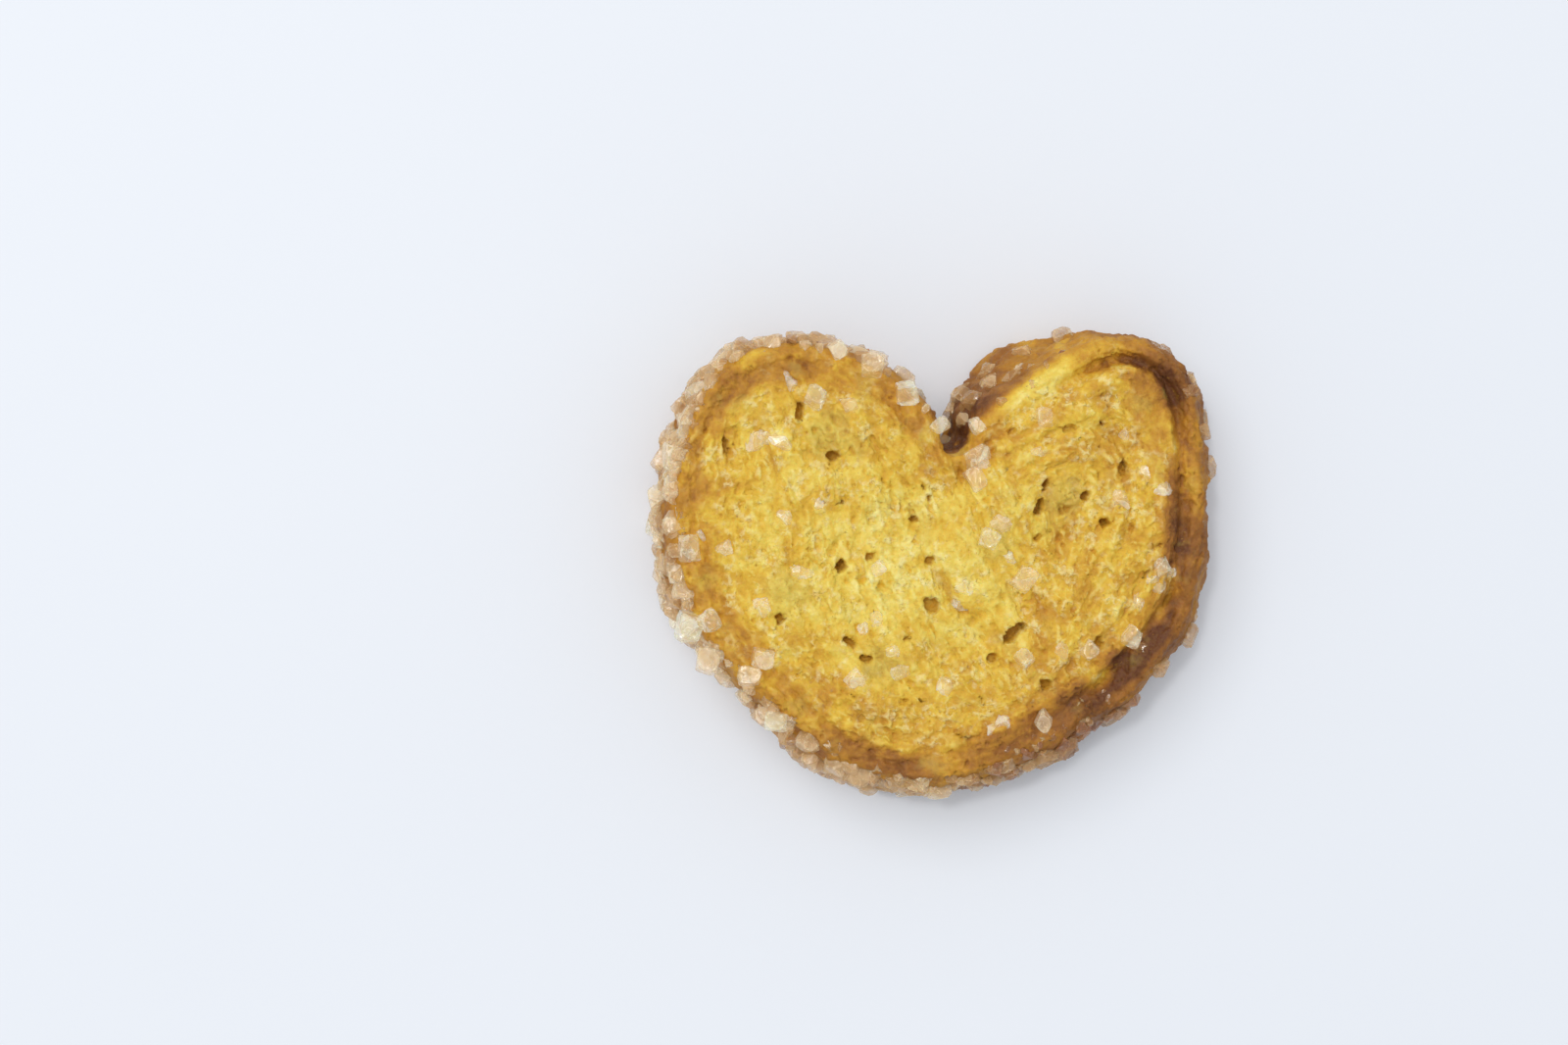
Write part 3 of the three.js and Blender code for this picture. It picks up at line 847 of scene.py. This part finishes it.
# What a crystal has lost to wear, as shares of its size
CRYSTAL_WEAR = (("VERTICES", 0.26), ("EDGES", 0.05))
UNEVEN = 0.06
NEARLY_FLAT = 0.22  # radians, up to which two facets of a hull are made one
# The band at each facet's edge is frosted and also painted whiter as painted highlight
FROST_AND_SHEEN_EDGE = 0.3  # of the way from a facet's edge to its middle
TINT_SPREAD = 0.45  # between one crystal and the next


def draws(seed):
    """Numbers from 0 to 1 that come out the same on every run."""
    state = seed
    while True:
        state = (state * 1664525 + 1013904223) % 4294967296
        yield state / 4294967296


def cover_at(x, y):
    thick = smooth_step(2, 14, max(-x, -y - 2))
    return THIN_COVER + (1 - THIN_COVER) * thick


def crystal_mesh(corners, size, turn, at, tint, wear):
    """A crystal: its corners' hull, chipped and worn, edges marked for frost and painted
    highlight.
    """
    bm = bmesh.new()
    for corner in corners:
        bmesh.ops.create_vert(bm, co=corner)
    bmesh.ops.convex_hull(bm, input=bm.verts[:])
    within = [vert for vert in bm.verts if not vert.link_faces]
    bmesh.ops.delete(bm, geom=within, context="VERTS")
    bmesh.ops.dissolve_limit(
        bm, angle_limit=NEARLY_FLAT, verts=bm.verts[:], edges=bm.edges[:]
    )
    for affect, offset in wear:
        geom = bm.verts[:] if affect == "VERTICES" else bm.edges[:]
        made = bmesh.ops.bevel(
            bm, geom=geom, offset=offset * size, offset_type="OFFSET", affect=affect,
            segments=1, profile=0.5, material=-1, clamp_overlap=True,
        )
    worn = set(made["faces"])
    key = int(1000 * at.x) ^ int(1300 * at.y)
    for index, vert in enumerate(bm.verts):
        jog = [chance(key, index, axis, 79) - 0.5 for axis in range(3)]
        vert.co += UNEVEN * size * Vector(jog)
    edge = bm.verts.layers.float.new("edge")
    warmth = bm.verts.layers.float.new("tint")
    facet = bm.faces.layers.float.new("facet")
    for vert in bm.verts:
        vert[edge] = 1
    outer = set(bm.verts)
    wide = [face for face in bm.faces if face not in worn]
    bmesh.ops.inset_individual(bm, faces=wide, thickness=0, depth=0)
    for face in wide:
        middle = face.calc_center_median()
        for vert in face.verts:
            vert.co = middle + (vert.co - middle) * (1 - FROST_AND_SHEEN_EDGE)
    for vert in bm.verts:
        vert[edge] = 1 if vert in outer else 0
        vert[warmth] = tint + TINT_SPREAD * (chance(key, 0, 0, 73) - 0.5)
    bm.faces.index_update()
    for face in bm.faces:
        face[facet] = 0.5
    for face in wide:
        frosting = chance(key, face.index, 0, 71)
        face[facet] = frosting
        for side in face.edges:
            for ring in side.link_faces:
                ring[facet] = frosting
    bmesh.ops.transform(bm, matrix=Matrix.Translation(at) @ turn, verts=bm.verts[:])
    mesh = bpy.data.meshes.new("crystal")
    bm.to_mesh(mesh)
    bm.free()
    return mesh


def crystal(size, at, normal, draw, tint):
    """A block with eight uneven corners, set down on a surface that faces that way."""
    half = [size / 2 * (0.8 + 0.34 * next(draw)) for _ in range(3)]
    corners = []
    for index in range(8):
        signs = [1 if index & bit else -1 for bit in (1, 2, 4)]
        corners.append([sign * h * (0.6 + 0.5 * next(draw)) for sign, h in zip(signs, half)])
    spin = Quaternion((0, 0, 1), 2 * math.pi * next(draw))
    lean = Quaternion((1, 0, 0), 0.9 * (next(draw) - 0.5))
    stand = Vector((0, 0, 1)).rotation_difference(normal)
    turn = (stand @ lean @ spin).to_matrix().to_4x4()
    return crystal_mesh(corners, size, turn, at, tint, CRYSTAL_WEAR)


def joined(meshes, name):
    bm = bmesh.new()
    for mesh in meshes:
        bm.from_mesh(mesh)
        bpy.data.meshes.remove(mesh)
    whole = bpy.data.meshes.new(name)
    bm.to_mesh(whole)
    bm.free()
    return whole


def wall_place(station, size, height, lift):
    """A place on the wall for a crystal of that size, and the way out of the slice there."""
    x, y, flare, out_x, out_y = (float(value) for value in rim_at(station))
    z = 0.7 * size + (THICKNESS - 1.1 * size) * height
    way = Vector((out_x, out_y, 0))
    out = float(wall_out(x, y, flare, station, z)) + lift * size
    return Vector((x, y, z)) + out * way, way, cover_at(x, y)


def caramel_at(at):
    """How much caramel the sugar has taken up, most round the right lobe and the notch."""
    notch = math.exp(-((at.x - 1) ** 2 + (at.y - 15) ** 2) / 40)
    right = 0.2 * float(smooth_step(-2, 8, at.x)) + 0.22 * float(smooth_step(10, 16, at.x))
    foot = 0.18 * float(smooth_step(9, 18, -at.y))
    heap = 0.15 * math.exp(-((at.x + 14) ** 2 + (at.y - 21) ** 2) / 60)
    return 0.38 + right + 0.1 * notch + foot + heap


def settled(at, way, size):
    """A crystal's place on the baked wall, sunk deepest round the right lobe and the notch."""
    right = 0.2 * float(smooth_step(2, 10, at.x) * smooth_step(-12, -4, at.y))
    notch = 0.35 * math.exp(-((at.x + 1.5) ** 2 + (at.y - 17) ** 2) / 9)
    sunk = TURN_DROP * float(furrow_open(at.x, at.y) * smooth_step(THICKNESS / 2, THICKNESS, at.z))
    out = float(puffed_out(at.x, at.y)) - (0.05 + right + notch) * size
    return at + out * way - Vector((0, 0, sunk))


crystals = []
draw = draws(SUGAR_SEED)
for x, y, size, rise in FACE_CRYSTALS:
    at = Vector((x, y, THICKNESS + rise + FACE_CRYSTAL_LIFT))
    crystals.append(crystal(size, at, Vector((0, 0, 1)), draw, 0.04))
placed = []
while len(placed) < WALL_CRYSTALS:
    station = next(draw)
    low, high = WALL_CRYSTAL_SIZES
    size = low + (high - low) * next(draw) ** 1.6
    at, way, cover = wall_place(station, size, next(draw), WALL_CRYSTAL_LIFT)
    clear = all((at - other).length > WALL_CRYSTAL_GAP * (big + size) / 2 for other, big in placed)
    if next(draw) > cover or not clear:
        continue
    placed.append((at, size))
    crystals.append(crystal(size, settled(at, way, size), way, draw, caramel_at(at) - 0.15))


def sugar_material():
    """Sugar that lets the pastry show through, frosted on some facets and at its edges, which also
    carry painted highlight.
    """
    shader = Shader("sugar")
    place = shader.place()
    cloud = shader.noise(place, 1.2, 3)
    edge = shader.attribute("edge")
    facet = shader.attribute("facet")
    tint = shader.attribute("tint") + (cloud - 0.5) * 0.5
    colour = shader.ramp(tint, [
        (0.0, (0.96, 0.86, 0.6)),
        (0.35, (0.75, 0.53, 0.27)),
        (0.7, (0.54, 0.32, 0.12)),
        (1.0, (0.34, 0.14, 0.05)),
    ])
    grit = shader.noise(place, 0.8, 2, 0.5)
    flaw = shader.between(shader.noise(place, 0.5, 2, 0.5, 1.6), 0.55, 0.62)
    # Painted highlight as well as frost: each facet's edge band is whiter and more opaque
    rim = edge * edge
    frost = shader.between(facet * 0.7 + (cloud - 0.5) * 1.3 + flaw * 0.3, 0.2, 0.85)
    frost_and_edge_sheen = (frost * 0.62 + rim * 0.22) * (1.12 - tint * 1.25)
    pale = shader.blend(tint * 1.8, (1.0, 0.95, 0.83), (0.79, 0.61, 0.37))
    colour = shader.blend(frost_and_edge_sheen, colour, pale)
    return shader.finish(
        Base_Color=colour,
        Roughness=0.04 + cloud * 0.12,
        Alpha=0.26 + rim * 0.06 + frost * 0.34 + tint * 0.24,
        Normal=shader.bump(grit, 0.00015, 1.0),
        Subsurface_Weight=0.9,
        Subsurface_Radius=(1.0, 0.85, 0.6),
        Subsurface_Scale=0.0005,
        IOR=1.5,
        Specular_IOR_Level=1.0,
    )


sugar = sugar_material()


def finish_sugar(meshes, name):
    """Sugar is clear enough to pass nearly all the light on it, so it casts no shadow."""
    piece = finish_piece(joined(meshes, name), name, sugar, smooth=False)
    piece.visible_shadow = False


finish_sugar(crystals, "sugar_crystals")


# Sugar crust: the smaller sugar of the same coat, rough nuggets that fill the wall between the
# large crystals and climb over the rim. They half melted in the oven and stuck together.
WALL_NUGGETS = 380
WALL_NUGGET_SIZES = (1.4, 3.1)
RIM_NUGGETS = 80
NUGGET_CORNERS = 11
NUGGET_LENGTH = 1.2  # as a share of its width, and so is the next one
NUGGET_HEIGHT = 0.85
NUGGET_WEAR = (("VERTICES", 0.26),)
HEAPED = 0.35  # how far the coat stands out where it is thickest, over the left lobe
CRUST_SEED = 9176


def nugget(size, at, normal, draw, tint):
    """A rough lump of sugar: a hull of corners scattered over an uneven ball."""
    corners = []
    for number in range(NUGGET_CORNERS):
        up = 1 - 2 * (number + next(draw)) / NUGGET_CORNERS
        turn = 2 * math.pi * (number * 0.618 + 0.25 * next(draw))
        level = math.sqrt(1 - up * up)
        reach = size / 2 * (0.8 + 0.35 * next(draw))
        along = NUGGET_LENGTH * reach * level * math.cos(turn)
        across = reach * level * math.sin(turn)
        corners.append((along, across, NUGGET_HEIGHT * reach * up))
    spin = Quaternion((0, 0, 1), 2 * math.pi * next(draw))
    stand = Vector((0, 0, 1)).rotation_difference(normal)
    turn = (stand @ spin).to_matrix().to_4x4()
    return crystal_mesh(corners, size, turn, at, tint, NUGGET_WEAR)


def nugget_cover(x, y):
    """The chance that sugar stuck there: it came off the right-hand end of the foot."""
    bare = 0.75 * float(smooth_step(16, 22, x))
    patch = 0.32 * math.exp(-((x - 8) ** 2 + (y - 18) ** 2) / 30)
    notch = float(smooth_step(1.5, 4, math.hypot(x - 1.8, y - 10.8)))
    return (cover_at(x, y) ** 2.6 * (1 - bare) + patch) * notch


def wall_nuggets(draw):
    nuggets = []
    low, high = WALL_NUGGET_SIZES
    while len(nuggets) < WALL_NUGGETS:
        size = low + (high - low) * next(draw) ** 1.6
        at, way, _ = wall_place(next(draw), size, next(draw), 0.0)
        at += HEAPED * math.exp(-((at.x + 18) ** 2 + (at.y - 20) ** 2) / 50) * way
        if next(draw) < nugget_cover(at.x, at.y):
            tint = caramel_at(at) + 0.3 * (next(draw) - 0.5)
            nuggets.append(nugget(size, settled(at, way, size), way, draw, tint))
    return nuggets


def rim_nuggets(draw):
    nuggets = []
    while len(nuggets) < RIM_NUGGETS:
        x, y, _, out_x, out_y = (float(value) for value in rim_at(next(draw)))
        inward = 1.2 * next(draw) ** 1.5 - 0.3
        size = 1.0 + 1.3 * next(draw) ** 1.4
        if next(draw) < nugget_cover(x, y):
            drop = TURN_DROP * float(furrow_open(x, y)) + 0.4 * size
            at = Vector((x - inward * out_x, y - inward * out_y, THICKNESS - drop))
            tint = caramel_at(at) + 0.3 * (next(draw) - 0.5)
            nuggets.append(nugget(size, at, Vector((0, 0, 1)), draw, tint))
    return nuggets


draw = draws(CRUST_SEED)
finish_sugar(wall_nuggets(draw) + rim_nuggets(draw), "sugar_crust")


# Sugar grains: sugar scattered on the cut face and sunk in its crumb, melted nearly flush.
FACE_GRAINS = 34
FACE_GRAIN_SIZES = (1.4, 2.5)
GRAIN_SEED = 733


def face_grains(draw):
    grains = []
    low, high = FACE_GRAIN_SIZES
    while len(grains) < FACE_GRAINS:
        x = -26 + 52 * next(draw)
        y = -22 + 44 * next(draw)
        size = low + (high - low) * next(draw) ** 1.5
        sunk = 0.04 + 0.12 * next(draw)
        inset = float(sample(inset_map, np.array([x]), np.array([y]))[0])
        turns = np.arange(8) * math.pi / 4
        reach = size * np.array((0.0, 0.45, 0.85))[:, None]
        round_x = (x + reach * np.cos(turns)).ravel()
        round_y = (y + reach * np.sin(turns)).ravel()
        solid = pore_depth(round_x, round_y).max() == 0
        if inset > 2 and solid:
            level = crumb_surface.ray_cast(Vector((x, y, 20)), Vector((0, 0, -1)))[0].z
            at = Vector((x, y, level - sunk * size))
            grains.append(nugget(size, at, Vector((0, 0, 1)), draw, 0.25 * next(draw) - 0.15))
    return grains


finish_sugar(face_grains(draws(GRAIN_SEED)), "sugar_grains")


# Table: a plain pale board. Soft studio light comes from a large lamp over the far left and from
# a pale room all round, and a small lamp beside the large one makes the sugar glint.
TABLE_SIZE = 3.0
LAMPLIGHT = (1.0, 0.985, 0.96)
WINDOW_SIZE = 1.6
WINDOW_WATTS = 20.5
GLINT_SIZE = 0.16
GLINT_WATTS = 5.0
ROOM_COLOUR = (0.94, 0.97, 1.0, 1)
ROOM_STRENGTH = 0.62


def table_material():
    shader = Shader("table")
    place = shader.place()
    shade = shader.noise(place, 60, 2)
    colour = shader.blend(shade, (0.78, 0.81, 0.87), (0.80, 0.83, 0.885))
    return shader.finish(Base_Color=colour, Roughness=0.6)


bm = bmesh.new()
bmesh.ops.create_grid(bm, x_segments=8, y_segments=8, size=TABLE_SIZE / 2)
table_mesh = bpy.data.meshes.new("table")
bm.to_mesh(table_mesh)
bm.free()
table_mesh.materials.append(table_material())
table = bpy.data.objects.new("table", table_mesh)
bpy.context.scene.collection.objects.link(table)


def lamp(name, place, size, watts):
    """A round lamp that looks at the middle of the table."""
    light = bpy.data.lights.new(name, "AREA")
    light.shape = "DISK"
    light.size = size
    light.energy = watts
    light.color = LAMPLIGHT
    holder = bpy.data.objects.new(name, light)
    turn = Vector(place).to_track_quat("Z", "Y").to_matrix().to_4x4()
    holder.matrix_world = Matrix.Translation(place) @ turn
    bpy.context.scene.collection.objects.link(holder)


lamp("window", (-0.7, 0.85, 1.9), WINDOW_SIZE, WINDOW_WATTS)
lamp("glint", (-0.5, 0.5, 1.7), GLINT_SIZE, GLINT_WATTS)
world = bpy.data.worlds.new("room")
world.use_nodes = True
room = world.node_tree.nodes["Background"]
room.inputs["Color"].default_value = ROOM_COLOUR
room.inputs["Strength"].default_value = ROOM_STRENGTH
bpy.context.scene.world = world
bpy.context.scene.view_settings.view_transform = "Standard"
